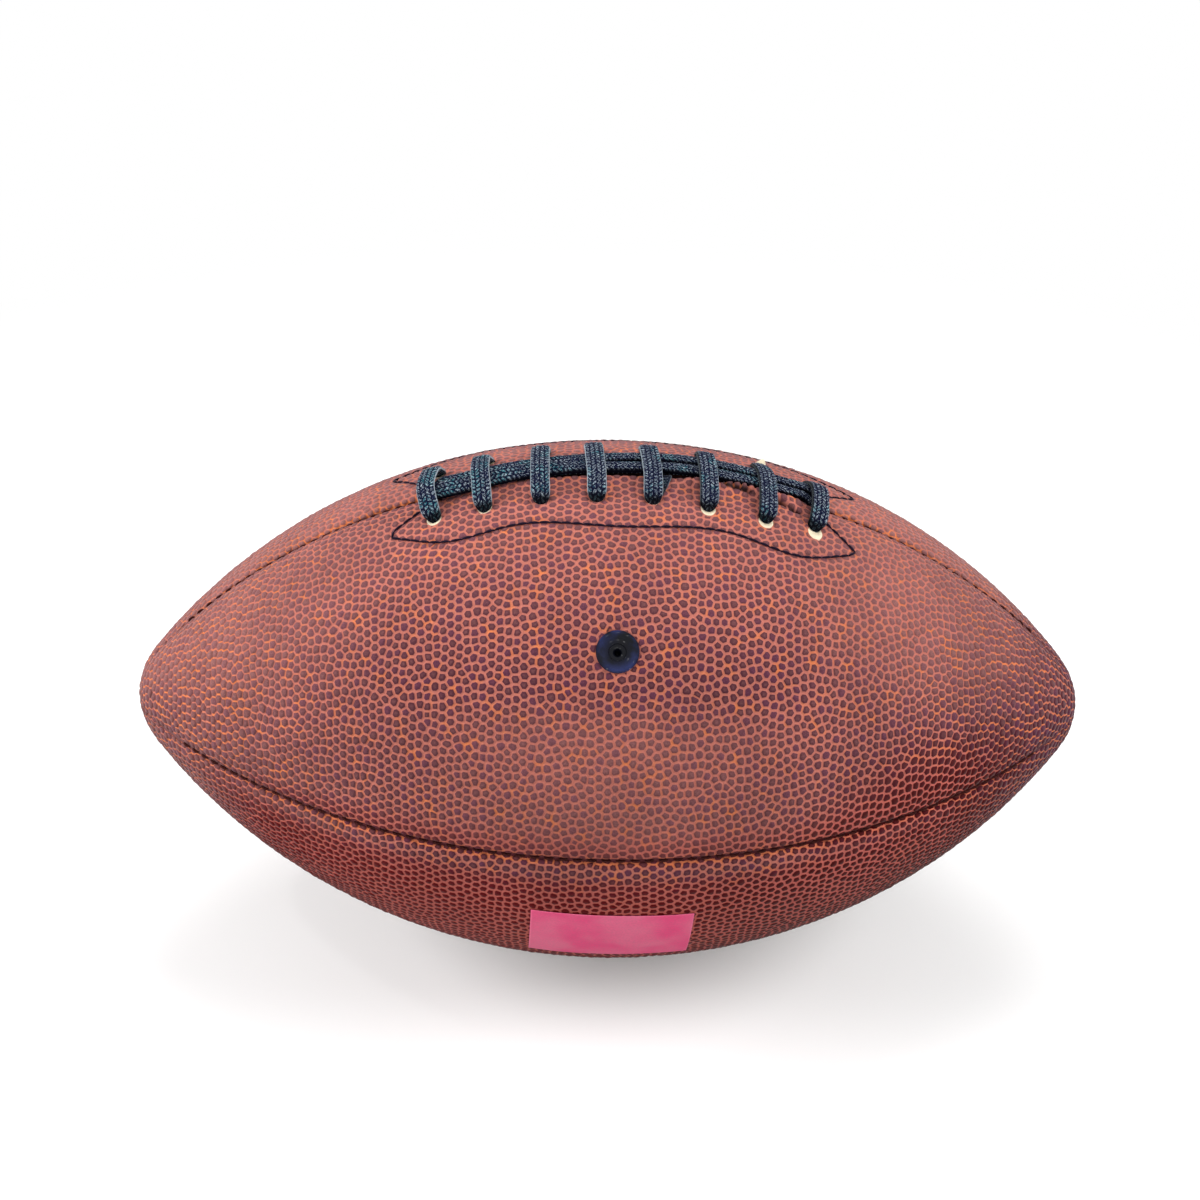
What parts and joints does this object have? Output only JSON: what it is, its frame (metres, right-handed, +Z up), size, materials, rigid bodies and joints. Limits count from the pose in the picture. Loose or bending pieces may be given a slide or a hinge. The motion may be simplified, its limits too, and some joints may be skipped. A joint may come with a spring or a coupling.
{
  "type": "american football",
  "caption": "Prolate sewn ball for throwing and carrying, with pebbled cover panels, a laced slit, a lined casing, an inflated bladder and a needle valve.",
  "frame": {"origin": "point under the middle of the ball where its belly rests", "axes": "+X along the ball's long axis, +Z up through the lace seam, -Y towards the side with the valve"},
  "size_m": [0.2848, 0.1576, 0.1625],
  "materials": {
    "cover": "pebbled composite leather, dark pebbles with paler grooves, satin",
    "lining": "cream woven cloth, matte",
    "facing": "cream vinyl, matte",
    "seam_thread": "waxed brown thread",
    "stitch_thread": "navy lockstitch thread",
    "lace": "flat navy braid with paler flecks",
    "tongue": "smooth brown leather",
    "bladder": "black butyl rubber",
    "valve": "navy moulded rubber, semi-gloss",
    "label": "plain pink self-adhesive sheet"
  },
  "bodies": {
    "root": {"cover_panel_upper_front": "cover", "lining_upper_front": "lining", "cover_panel_upper_back": "cover", "lining_upper_back": "lining", "cover_panel_lower_front": "cover", "lining_lower_front": "lining", "cover_panel_lower_back": "cover", "lining_lower_back": "lining", "seam_thread_front": "seam_thread", "seam_thread_back": "seam_thread", "seam_thread_bottom": "seam_thread", "seam_thread_lace_left": "seam_thread", "seam_thread_lace_right": "seam_thread", "lace_facing_front": "facing", "facing_stitch_front": "stitch_thread", "lace_facing_back": "facing", "facing_stitch_back": "stitch_thread", "lace": "lace", "tongue": "tongue", "bladder": "bladder", "valve_housing": "valve", "valve_core": "valve", "paper_label": "label"}
  },
  "joints": []
}
